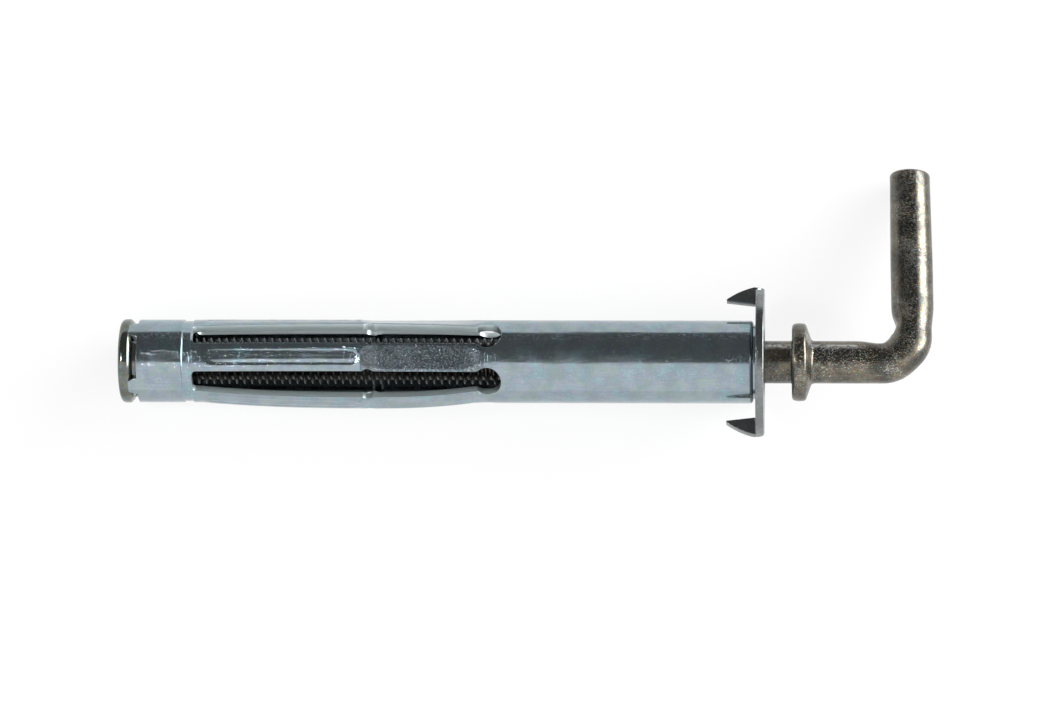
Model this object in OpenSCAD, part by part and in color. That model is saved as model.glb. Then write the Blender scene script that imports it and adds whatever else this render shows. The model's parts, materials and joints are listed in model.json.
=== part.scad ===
// Hollow-wall anchor with a square hook screw, lying on its plate rim, nut rim and hook tip.
// The pieces are drawn along the anchor's own axis: X runs from the nut end (negative) to the
// hook (positive), and X = 0 is the wall side of the claw plate. lie_down() then sets the whole
// anchor on Z = 0 as it rests on a table, with the origin under the middle of its box.

/* [Sleeve] */
// Outer diameter of the sleeve
sleeve_d = 8.7; // [8:0.1:10]
// Wall thickness of the sleeve
sleeve_wall = 0.8; // [0.6:0.05:1]
// Length of the sleeve's socket over the nut
socket_len = 4.6; // [3:0.1:8]
// Depth of the waist that locks the nut in the sleeve
waist_depth = 0.25; // [0.1:0.05:0.4]
// Length of the waist
waist_len = 0.8; // [0.4:0.1:1.2]
// Diameter of the neck that carries the plate
neck_d = 7.8; // [7:0.1:8]
// Length of the open neck between the sleeve's shoulder and the plate
neck_gap = 0.3; // [0.1:0.05:0.6]
// Height of the bevel on the sleeve's shoulder
shoulder_bevel = 0.35; // [0.1:0.05:0.45]

/* [Legs] */
// Number of legs round the sleeve
leg_count = 5; // [4:1:6]
// Width of one leg, measured round the sleeve
leg_w = 3.05; // [2:0.05:3.6]
// Distance from the plate to the keyed end of the slots
slot_end = 26.55; // [24:0.05:32]
// Length of the slots between the legs
slot_len = 32.45; // [28:0.05:34]
// Distance from the plate to the fold line of the legs
fold_x = 40.5; // [38:0.1:44]
// How far the legs bow outwards at their fold
leg_bow = 0.3; // [0.1:0.05:0.6]
// Turn of the front leg above the middle of the front view
leg_turn = 5.5; // [-20:0.5:20]
// How far the round, keyed end of a slot reaches into the legs' edges
key_bite = 0.3; // [0.1:0.05:0.5]
// Radius of the fold notches in a leg's edges
notch_r = 0.7; // [0.4:0.05:1]
// Depth of the fold notches
notch_depth = 0.25; // [0.1:0.05:0.4]
// Height of the bulge pressed in on a leg's inside, beside the fold
bulge = 0.35; // [0.1:0.05:0.5]
// Width of the channel pressed along the nut half of a leg
channel_w = 1.7; // [1.2:0.1:2.2]
// Depth of the channel
channel_depth = 0.15; // [0.05:0.05:0.3]
// Length left plain between the channel and the leg's ends
channel_end_gap = 0.9; // [0.4:0.1:2]
// Depth of the flat coined on the plate half of a leg
flat_depth = 0.24; // [0.1:0.02:0.3]
// Distance from the plate to the flat's end
flat_end = 28.3; // [27:0.1:31]

/* [Crimped end] */
// Number of crimp lobes round the sleeve's end
crimp_count = 4; // [3:1:6]
// Turn of the first crimp lobe above the middle of the front view
crimp_turn = 51; // [0:1:90]
// Gap between the sleeve's end and the nut's rim, which the crimp lobes bridge
crimp_gap = 0.6; // [0.3:0.05:1]
// Width of a crimp lobe at its root
lobe_root_w = 2.4; // [2:0.1:4]
// Width of a crimp lobe at its tip
lobe_tip_w = 1.4; // [1:0.1:2.4]
// Inward lean of a lobe at its tip
lobe_lean = 0.2; // [0.05:0.05:0.3]

/* [Nut] */
// Diameter of the nut's rim
nut_rim_d = 8.8; // [8.2:0.1:9.8]
// Thickness of the nut's rim
nut_rim_t = 1.35; // [1:0.05:2]
// Rounding of the rim's outer edge
nut_rim_r = 0.5; // [0.2:0.05:0.6]
// Bevel on the rim's sleeve side
nut_rim_bevel = 0.35; // [0.1:0.05:0.4]

/* [Claw plate] */
// Diameter of the plate
plate_d = 16; // [13:0.5:18]
// Thickness of the plate
plate_t = 0.85; // [0.6:0.05:1]
// Rounding of the plate's rim
plate_edge = 0.12; // [0.05:0.01:0.3]
// Length of a claw
claw_len = 2.9; // [2:0.1:3.2]
// Distance of a claw's outer face from the plate's middle line
claw_offset = 2.0; // [1.6:0.1:2.6]
// Distance of a claw's inner edge from the plate's centre
claw_inner = 5.86; // [5:0.02:6.2]
// Inner radius of the claw's bend
claw_bend_r = 0.2; // [0.1:0.05:0.4]
// Width of the cut beside a claw
claw_cut = 0.1; // [0.05:0.05:0.3]
// Turn of the claws out of the level
claw_turn = 25; // [0:1:90]

/* [Hook screw] */
// Diameter over the thread
thread_d = 4.85; // [4.8:0.05:5]
// Diameter of the plain wire
wire_d = 4.45; // [4.2:0.05:4.6]
// Length of the thread
thread_len = 46; // [40:1:60]
// How far the screw's end lies inside the nut's face
end_inset = 0.4; // [0:0.1:2]
// Bevel on the screw's end
end_bevel = 0.6; // [0.2:0.1:1]
// Diameter of the collar
collar_d = 8.1; // [7:0.1:9]
// Free gap between the plate and the collar
collar_gap = 2.9; // [1:0.1:5]
// Thickness of the collar
collar_t = 2.1; // [1.5:0.1:3]
// Length of the collar's full-diameter land
collar_land = 0.85; // [0.5:0.05:1.2]
// Rounding of the collar's wall-side edge
collar_round = 0.4; // [0.2:0.05:0.6]
// Distance from the collar to the middle of the hook's arm
hook_reach = 10.4; // [8:0.1:16]
// Radius of the hook's bend, to the middle of the wire
bend_r = 3.0; // [2.6:0.1:5]
// Length of the arm from the screw's axis to its end
arm_len = 20.95; // [16:0.05:26]
// Bevel on the arm's end
arm_bevel = 0.3; // [0.1:0.05:0.6]

/* [Fits] */
// Gap between seated pieces, such as the nut in the sleeve
seat_gap = 0.03; // [0.01:0.01:0.06]
// Running gap between the screw and the nut
screw_gap = 0.05; // [0.02:0.01:0.1]

/* [Hidden] */
$fn = 72;
TINY = 0.01;
FAR = 3;
sleeve_r = sleeve_d / 2;
sleeve_in = sleeve_r - sleeve_wall;
waist_r = sleeve_r - waist_depth;
neck_r = neck_d / 2;
flare = 0.2;
socket_bevel = 0.15;
waist_slope = 0.2;
bulge_r = 0.6;
flat_lead = 0.8;
cut_r = sleeve_in - 0.9;
nut_r = nut_rim_d / 2;
nut_body_r = sleeve_in - seat_gap;
nut_bore_r = thread_d / 2 + screw_gap;
plate_r = plate_d / 2;
thread_r = thread_d / 2;
wire_r = wire_d / 2;
collar_r = collar_d / 2;

// Places along the axis
slot_x1 = -slot_end;
slot_x0 = slot_x1 - slot_len;
waist_x1 = slot_x0 - waist_slope;
waist_x0 = waist_x1 - waist_len;
nut_x1 = waist_x0 - waist_slope;
sleeve_x0 = nut_x1 - socket_len;
key_r = PI * sleeve_r / leg_count - leg_w / 2 + key_bite;
key_x = slot_x1 - key_r;
strip_x0 = slot_x0 + waist_len;
strip_x1 = key_x - key_r;
rim_x1 = sleeve_x0 - crimp_gap;
rim_x0 = rim_x1 - nut_rim_t;
screw_x0 = rim_x0 + end_inset;
thread_x1 = screw_x0 + thread_len;
collar_x0 = plate_t + collar_gap;
collar_x1 = collar_x0 + collar_t;
arm_x = collar_x1 + hook_reach;

// Angles round the axis
leg_step = 360 / leg_count;
leg_half = leg_w / sleeve_r * 90 / PI;
slot_half = leg_step / 2 - leg_half;

// How the anchor lies: the tilt at which the plate's rim and the nut's rim touch one floor
lie_a = plate_r - plate_edge - nut_r + nut_rim_r;
lie_b = plate_edge - nut_rim_r;
lie_c = plate_edge - rim_x0 - nut_rim_r;
tilt = atan2(lie_a, lie_c) + asin(lie_b / norm([lie_a, lie_c]));
axis_z = cos(tilt) * (plate_r - plate_edge) - sin(tilt) * plate_edge + plate_edge;

// How far the hook's arm droops until its end touches the same floor
arm_edge = arm_len - arm_bevel;
arm_z = axis_z + arm_x * sin(tilt);
droop = asin(sin(asin(arm_z / norm([arm_edge, wire_r])) - atan2(wire_r, arm_edge)) / cos(tilt));

// Box of the lying anchor, for the origin under its middle
box_x0 = (rim_x0 + nut_rim_r) * cos(tilt) - (nut_r - nut_rim_r) * sin(tilt) - nut_rim_r;
box_x1 = arm_x * cos(tilt) + arm_edge * sin(droop) * sin(tilt) + wire_r;
box_y0 = -plate_r;
box_y1 = arm_edge * cos(droop) + wire_r * sin(droop);

// A profile of [radius, place along the axis] points, turned round the anchor's axis
module turned(profile) {
    rotate([0, 90, 0])
        rotate_extrude()
            polygon(profile);
}

// A ring sector from angle a0 to a1, counted from the front view's middle up over the top
module sector(r0, r1, x0, x1, a0, a1) {
    rotate([-a1, 0, 0])
        rotate([0, 90, 0])
            rotate([0, 0, 180])
                rotate_extrude(angle = a1 - a0)
                    translate([r0, x0])
                        square([r1 - r0, x1 - x0]);
}

// Points of an arc in a profile, round [r, x] from angle a0 to a1
function arc(r, x, radius, a0, a1, steps = 6) =
    [for (i = [0 : steps]) let (a = a0 + (a1 - a0) * i / steps)
        [r + radius * cos(a), x + radius * sin(a)]];

// Turns what points to the front so that it points to the angle a, up over the top
module at_angle(a) {
    rotate([-a, 0, 0])
        children();
}

// The sleeve's outer line from its crimped end to the shoulder, with the legs' bow in it
function sleeve_line() = [
    [sleeve_r, sleeve_x0 + socket_bevel],
    [sleeve_r, waist_x0 - waist_slope],
    [waist_r, waist_x0],
    [waist_r, waist_x1],
    [sleeve_r, strip_x0],
    [sleeve_r + leg_bow, -fold_x],
    [sleeve_r, strip_x1],
    [sleeve_r, -neck_gap - shoulder_bevel]
];

// The same line inside the wall, back from the shoulder to the crimped end
function inner_line() =
    let (line = sleeve_line())
    [for (i = [len(line) - 2 : -1 : 1]) [line[i][0] - sleeve_wall, line[i][1]]];

// The whole rolled tube with its neck in the plate's hole, before the slots are cut
module tube() {
    turned(concat(
        [[sleeve_r - socket_bevel, sleeve_x0]],
        sleeve_line(),
        [[sleeve_r - shoulder_bevel, -neck_gap],
         [neck_r, -neck_gap],
         [neck_r, plate_t - flare],
         [neck_r + flare - seat_gap, plate_t],
         [sleeve_in, plate_t]],
        inner_line(),
        [[sleeve_in, sleeve_x0]]
    ));
}

// One slot between two legs, with its round, keyed end towards the plate
module slot() {
    sector(cut_r, sleeve_r + FAR, slot_x0, key_x, -slot_half, slot_half);
    translate([key_x, 0, cut_r])
        cylinder(r = key_r, h = sleeve_r + FAR);
}

// The round-ended channel pressed along the nut half of a leg, its floor in line with the leg
module channel() {
    run = -fold_x - strip_x0;
    end = channel_end_gap + channel_w / 2;
    translate([strip_x0, 0, 0])
        rotate([0, -atan2(leg_bow, run), 0])
            difference() {
                union() {
                    for (x = [end, run - end])
                        translate([x, 0, cut_r])
                            cylinder(r = channel_w / 2, h = FAR);
                    translate([end, -channel_w / 2, cut_r])
                        cube([run - 2 * end, channel_w, FAR]);
                }
                rotate([0, 90, 0])
                    cylinder(r = sleeve_r - channel_depth, h = run);
            }
}

// The flat coined on the plate half of a leg
module flat() {
    translate([-fold_x, -leg_w, sleeve_r + leg_bow - flat_depth])
        rotate([0, atan2(leg_bow, strip_x1 + fold_x), 0])
            translate([-flat_lead, 0, 0])
                cube([fold_x - flat_end + flat_lead, 2 * leg_w, FAR]);
}

// The notches in both edges of a leg, at its fold
module fold_notches() {
    for (side = [-1, 1])
        at_angle(side * leg_half)
            translate([-fold_x, side * (notch_r - notch_depth), cut_r])
                cylinder(r = notch_r, h = FAR);
}

// The bulge across a leg's inside, beside its fold
module fold_bulge() {
    reach = sleeve_r + leg_bow - flat_depth;
    intersection() {
        translate([-fold_x + bulge_r, -leg_w, sleeve_in + leg_bow + bulge_r - bulge])
            rotate([-90, 0, 0])
                cylinder(r = bulge_r, h = 2 * leg_w);
        sector(cut_r, reach, -fold_x - FAR, -fold_x + FAR, -leg_half, leg_half);
    }
}

// A crimp lobe at the sleeve's end, leaning in against the nut's rim
module crimp_lobe() {
    intersection() {
        turned([
            [sleeve_in, sleeve_x0 + socket_bevel],
            [sleeve_r - TINY, sleeve_x0 + socket_bevel],
            [sleeve_r - lobe_lean, rim_x1],
            [sleeve_in, rim_x1]
        ]);
        rotate([0, 0, 90])
            linear_extrude(height = sleeve_r + FAR)
                polygon([
                    [-lobe_root_w / 2, -sleeve_x0 - socket_bevel],
                    [lobe_root_w / 2, -sleeve_x0 - socket_bevel],
                    [lobe_tip_w / 2, -rim_x1],
                    [-lobe_tip_w / 2, -rim_x1]
                ]);
    }
}

module sleeve() {
    color("lightsteelblue")
        difference() {
            union() {
                tube();
                for (i = [0 : leg_count - 1])
                    at_angle(leg_turn + i * leg_step)
                        fold_bulge();
                for (i = [0 : crimp_count - 1])
                    at_angle(crimp_turn + i * 360 / crimp_count)
                        crimp_lobe();
            }
            for (i = [0 : leg_count - 1])
                at_angle(leg_turn + i * leg_step) {
                    at_angle(leg_step / 2)
                        slot();
                    channel();
                    flat();
                    fold_notches();
                }
        }
}

module nut() {
    color("silver")
        turned(concat(
            [[nut_bore_r + nut_rim_bevel, rim_x0]],
            arc(nut_r - nut_rim_r, rim_x0 + nut_rim_r, nut_rim_r, -90, 0),
            [[nut_r, rim_x1 - nut_rim_bevel],
             [nut_r - nut_rim_bevel, rim_x1],
             [nut_body_r, rim_x1],
             [nut_body_r, nut_x1 - nut_rim_bevel],
             [nut_body_r - nut_rim_bevel, nut_x1],
             [nut_bore_r, nut_x1],
             [nut_bore_r, rim_x0 + nut_rim_bevel]]
        ));
}

// Flat outline of a claw: [distance from the bend, distance from the plate's centre]
function claw_outline() = concat(
    [[0, claw_inner]],
    [for (i = [0 : 6]) let (s = claw_len * i / 6)
        [s, sqrt(pow(plate_r, 2) - pow(claw_offset + s, 2))]],
    [[claw_len, sqrt(pow(plate_r, 2) - pow(claw_offset + claw_len, 2)) - claw_cut]]
);

// One claw: the bend out of the plate and the pointed flap towards the wall
module claw() {
    root_w = sqrt(pow(plate_r, 2) - pow(claw_offset, 2)) - claw_inner;
    bend_z = claw_offset - claw_bend_r - plate_t;
    translate([-claw_bend_r, claw_inner, bend_z])
        rotate([-90, 0, 0])
            mirror([0, 1, 0])
                rotate_extrude(angle = 90)
                    translate([claw_bend_r, 0])
                        square([plate_t, root_w]);
    translate([-claw_bend_r, 0, claw_offset - plate_t])
        linear_extrude(height = plate_t)
            polygon([for (p = claw_outline()) [-p[0], p[1]]]);
}

// The piece of rim that was cut free and folded to make a claw
module claw_gap() {
    bend_z = claw_offset - claw_bend_r - plate_t;
    edge = claw_inner - claw_cut;
    translate([-1, 0, 0])
        rotate([90, 0, 90])
            linear_extrude(height = 2 * plate_t + 1)
                polygon([[edge, bend_z], [plate_r + 1, bend_z], [plate_r + 1, plate_r], [edge, plate_r]]);
}

module claw_plate() {
    hole_r = neck_r + seat_gap;
    color("gainsboro")
        at_angle(claw_turn) {
            difference() {
                turned(concat(
                    [[hole_r, 0]],
                    arc(plate_r - plate_edge, plate_edge, plate_edge, -90, 0, 3),
                    arc(plate_r - plate_edge, plate_t - plate_edge, plate_edge, 0, 90, 3),
                    [[hole_r + flare, plate_t],
                     [hole_r, plate_t - flare]]
                ));
                for (turn = [0, 180])
                    rotate([turn, 0, 0])
                        claw_gap();
            }
            for (turn = [0, 180])
                rotate([turn, 0, 0])
                    claw();
        }
}

module hook_screw() {
    arm_x0 = arm_x - bend_r;
    color("khaki") {
        turned(concat(
            [[0, screw_x0],
             [thread_r - end_bevel, screw_x0],
             [thread_r, screw_x0 + end_bevel],
             [thread_r, thread_x1],
             [wire_r, thread_x1 + thread_r - wire_r],
             [wire_r, collar_x0]],
            arc(collar_r - collar_round, collar_x0 + collar_round, collar_round, -90, 0),
            [[collar_r, collar_x0 + collar_round + collar_land],
             [collar_r - 0.1, collar_x0 + collar_round + collar_land + 0.2],
             [wire_r, collar_x1],
             [wire_r, arm_x0 + TINY],
             [0, arm_x0 + TINY]]
        ));
        rotate([-droop, 0, 0]) {
            translate([arm_x0, bend_r, 0])
                rotate([0, 0, -90])
                    rotate_extrude(angle = 90)
                        translate([bend_r, 0])
                            circle(r = wire_r);
            translate([arm_x, bend_r, 0])
                rotate([-90, 0, 0])
                    rotate_extrude()
                        polygon([
                            [0, -TINY],
                            [wire_r, -TINY],
                            [wire_r, arm_edge - bend_r],
                            [wire_r - arm_bevel, arm_len - bend_r],
                            [0, arm_len - bend_r]
                        ]);
        }
    }
}

// Lays the anchor on the floor, with the origin under the middle of its box
module lie_down() {
    translate([-(box_x0 + box_x1) / 2, -(box_y0 + box_y1) / 2, axis_z])
        rotate([0, -tilt, 0])
            children();
}

lie_down() sleeve();
lie_down() nut();
lie_down() claw_plate();
lie_down() hook_screw();
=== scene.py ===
"""Looks of a hollow-wall anchor with a square hook screw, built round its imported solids.

Every piece is shaped in millimetres in the anchor's own frame, where X runs along the axis from
the nut end to the hook and X = 0 is the wall side of the claw plate. The matrix of the anchor's
hinge then lays it where the solids lie, in metres.
"""

import json
import logging
import math
from dataclasses import dataclass, field
from enum import Enum

import bmesh
import bpy
from bmesh.types import BMesh, BMEdge, BMFace, BMLayerItem, BMVert
from bpy.types import Material, Mesh, Node, NodeSocket, NodeTree, Object
from mathutils import Matrix, Vector, noise


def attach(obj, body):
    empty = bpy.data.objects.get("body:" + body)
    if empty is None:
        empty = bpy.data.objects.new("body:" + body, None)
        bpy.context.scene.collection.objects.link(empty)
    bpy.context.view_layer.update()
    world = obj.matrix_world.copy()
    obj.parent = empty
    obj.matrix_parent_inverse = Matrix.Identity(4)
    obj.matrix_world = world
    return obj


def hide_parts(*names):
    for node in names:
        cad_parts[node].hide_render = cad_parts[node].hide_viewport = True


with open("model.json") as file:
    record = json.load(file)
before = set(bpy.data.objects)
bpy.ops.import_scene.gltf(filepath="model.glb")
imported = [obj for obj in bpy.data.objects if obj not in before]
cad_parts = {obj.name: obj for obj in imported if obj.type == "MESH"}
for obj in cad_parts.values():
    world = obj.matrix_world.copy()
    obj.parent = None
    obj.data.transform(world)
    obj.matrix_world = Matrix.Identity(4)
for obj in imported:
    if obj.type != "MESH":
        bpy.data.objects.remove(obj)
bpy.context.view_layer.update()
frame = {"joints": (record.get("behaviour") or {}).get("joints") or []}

LOG = logging.getLogger("anchor")
MM = 0.001
# Points nearer than these merge, in millimetres. Edges past these angles, in degrees, are sharp.
CLOSE = 1e-4
LOOSE = 5 * CLOSE
SHADE_SHARP = 35.0
CUT_SHARP = 50.0
DIAGONAL = math.sqrt(0.5)
WHITE = (1, 1, 1, 1)

Pair = tuple[float, float]
Triple = tuple[float, float, float]
Colour = tuple[float, float, float, float]


class Section(Enum):
    """The stretches of the sleeve's sheet, from its crimped end to the plate."""

    LOBES = "lobes"
    SOCKET = "socket"
    LEGS = "legs"
    BARREL = "barrel"


class Ease(Enum):
    """How a value passes from one level to the next."""

    LINEAR = "linear"
    SMOOTH = "smooth"


def ramp(x: float, start: float, end: float, ease: Ease = Ease.SMOOTH) -> float:
    """Passes from 0 at start to 1 at end.

    Args:
        x: The place to read.
        start: Where the ramp leaves 0.
        end: Where the ramp reaches 1.
        ease: The ramp's form.

    Returns:
        A share between 0 and 1.
    """
    share = min(max((x - start) / (end - start), 0.0), 1.0)
    if ease is Ease.LINEAR:
        return share
    return share * share * (3 - 2 * share)


def soft_min(a: float, b: float, blend: float) -> float:
    """The lower of two heights, rounded where they differ by less than the blend."""
    gap = max(blend - abs(a - b), 0.0) / blend
    return min(a, b) - gap * gap * blend / 4


def spaced(start: float, end: float, count: int) -> list[float]:
    """Gives a count of even places from start up to, but without, end."""
    return [start + (end - start) * i / count for i in range(count)]


def arc_points(x: float, r: float, radius: float, start: float, end: float,
               steps: int) -> list[Pair]:
    """Points of an arc in a turned profile.

    Args:
        x: The centre's place along the axis.
        r: The centre's radius from the axis.
        radius: The arc's own radius.
        start: The first angle, in degrees from outwards towards the hook.
        end: The last angle.
        steps: How many steps the arc takes.

    Returns:
        The arc's places along the axis and radii.
    """
    angles = [math.radians(start + (end - start) * i / steps) for i in range(steps + 1)]
    return [(x + radius * math.sin(a), r + radius * math.cos(a)) for a in angles]


def axis_turn(degrees: float) -> Matrix:
    """The turn about the anchor's axis by an angle from +Z towards +Y."""
    return Matrix.Rotation(-math.radians(degrees), 3, "X")


def grid_step(place: float, steps: int) -> int:
    """Counts the steps of a fresh grid, which runs from -1 to 1, up to a place."""
    return round((place + 1) / 2 * steps)


@dataclass(frozen=True)
class Axis:
    """Where the lying anchor's axis is in the row frame."""

    origin: Vector
    direction: Vector

    @classmethod
    def of_joint(cls, joint: dict) -> "Axis":
        """Reads the axis from the screw's hinge, as the frame gives it."""
        return cls(Vector(joint["pos_m"]), Vector(joint["axis"]).normalized())

    @property
    def tilt(self) -> float:
        """The angle at which the axis rises towards the hook."""
        return math.asin(self.direction.z)

    def lying(self) -> Matrix:
        """The matrix from the anchor's frame, in millimetres, to the row frame, in metres."""
        turned = Matrix.Rotation(-self.tilt, 4, "Y")
        return Matrix.Translation(self.origin) @ turned @ Matrix.Scale(MM, 4)


AXIS = Axis.of_joint(frame["joints"][0])


def spin_profile(points: list[Pair], steps: int, closed: bool) -> BMesh:
    """Turns a profile round the anchor's axis.

    Args:
        points: The profile's places along the axis and its radii.
        steps: How many steps the turn takes.
        closed: Whether the profile's last point joins its first.

    Returns:
        The turned mesh.
    """
    bm = bmesh.new()
    verts = [bm.verts.new((x, 0, r)) for x, r in points]
    edges = [bm.edges.new(pair) for pair in zip(verts, verts[1:])]
    if closed:
        edges.append(bm.edges.new((verts[-1], verts[0])))
    bmesh.ops.spin(bm, geom=verts + edges, cent=(0, 0, 0), axis=(1, 0, 0), dvec=(0, 0, 0),
                   angle=math.tau, steps=steps, use_merge=True, use_duplicate=False)
    bmesh.ops.remove_doubles(bm, verts=bm.verts, dist=CLOSE)
    bmesh.ops.recalc_face_normals(bm, faces=bm.faces)
    return bm


def soften_edges(bm: BMesh, edges: list[BMEdge], width: float, segments: int) -> None:
    """Bevels edges by a width in millimetres, with so many faces across the bevel."""
    bmesh.ops.bevel(bm, geom=edges, offset=width, offset_type="OFFSET", segments=segments,
                    profile=0.5, affect="EDGES", clamp_overlap=True, material=-1)


def sharp_edges(bm: BMesh, least: float) -> list[BMEdge]:
    """Finds the edges that turn by more than an angle in degrees."""
    limit = math.radians(least)
    return [e for e in bm.edges if len(e.link_faces) == 2 and e.calc_face_angle() > limit]


def cut_by_plane(bm: BMesh, at: tuple[float, ...], normal: tuple[float, ...], clear: bool) -> None:
    """Cuts a mesh along a plane, and clears what is past the plane if asked."""
    geom = bm.verts[:] + bm.edges[:] + bm.faces[:]
    bmesh.ops.bisect_plane(bm, geom=geom, dist=CLOSE, plane_co=at, plane_no=normal, clear_outer=clear)


def wall_sheet(bm: BMesh) -> BMLayerItem:
    """Doubles an open sheet, so that it has an outer and an inner face.

    Args:
        bm: The sheet.

    Returns:
        The layer that is 1 on the inner face's points.
    """
    inside = bm.verts.layers.int.new("inside")
    walled = bmesh.ops.extrude_face_region(bm, geom=bm.faces[:], use_keep_orig=True)
    for v in walled["geom"]:
        if isinstance(v, BMVert):
            v[inside] = 1
    return inside


def as_mesh(bm: BMesh, name: str) -> Mesh:
    """Turns a finished bmesh into mesh data.

    Args:
        bm: The bmesh, which is freed.
        name: The mesh's name.

    Returns:
        The mesh.
    """
    mesh = bpy.data.meshes.new(name)
    bm.to_mesh(mesh)
    bm.free()
    return mesh


def put_in_scene(name: str, data: bpy.types.ID) -> Object:
    """Makes an object of its data and links it to the scene."""
    thing = bpy.data.objects.new(name, data)
    bpy.context.scene.collection.objects.link(thing)
    return thing


@dataclass(frozen=True)
class Seat:
    """What a piece is called, and what it belongs to."""

    name: str
    node: str
    body: str
    slot: str


@dataclass
class Piece:
    """A visible piece, which is shaped in the anchor's frame and laid where its solid lies."""

    seat: Seat

    def mesh(self) -> BMesh:
        """Makes the piece's mesh in the anchor's frame."""
        raise NotImplementedError

    def build(self, finish: "ZincFinish") -> Object:
        """Lays the mesh in the row frame, dresses it and hands it to its body.

        Args:
            finish: The piece's finish.

        Returns:
            The piece's object.
        """
        seat = self.seat
        bm = self.mesh()
        bmesh.ops.transform(bm, matrix=AXIS.lying(), verts=bm.verts)
        mesh = as_mesh(bm, seat.name)
        mesh.polygons.foreach_set("use_smooth", [True] * len(mesh.polygons))
        mesh.set_sharp_from_angle(angle=math.radians(SHADE_SHARP))
        mesh.materials.append(finish.material())
        piece = put_in_scene(seat.name, mesh)
        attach(piece, seat.body)
        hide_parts(seat.node)
        mesh.calc_loop_triangles()
        LOG.info("%s: %d triangles", seat.name, len(mesh.loop_triangles))
        return piece


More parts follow.
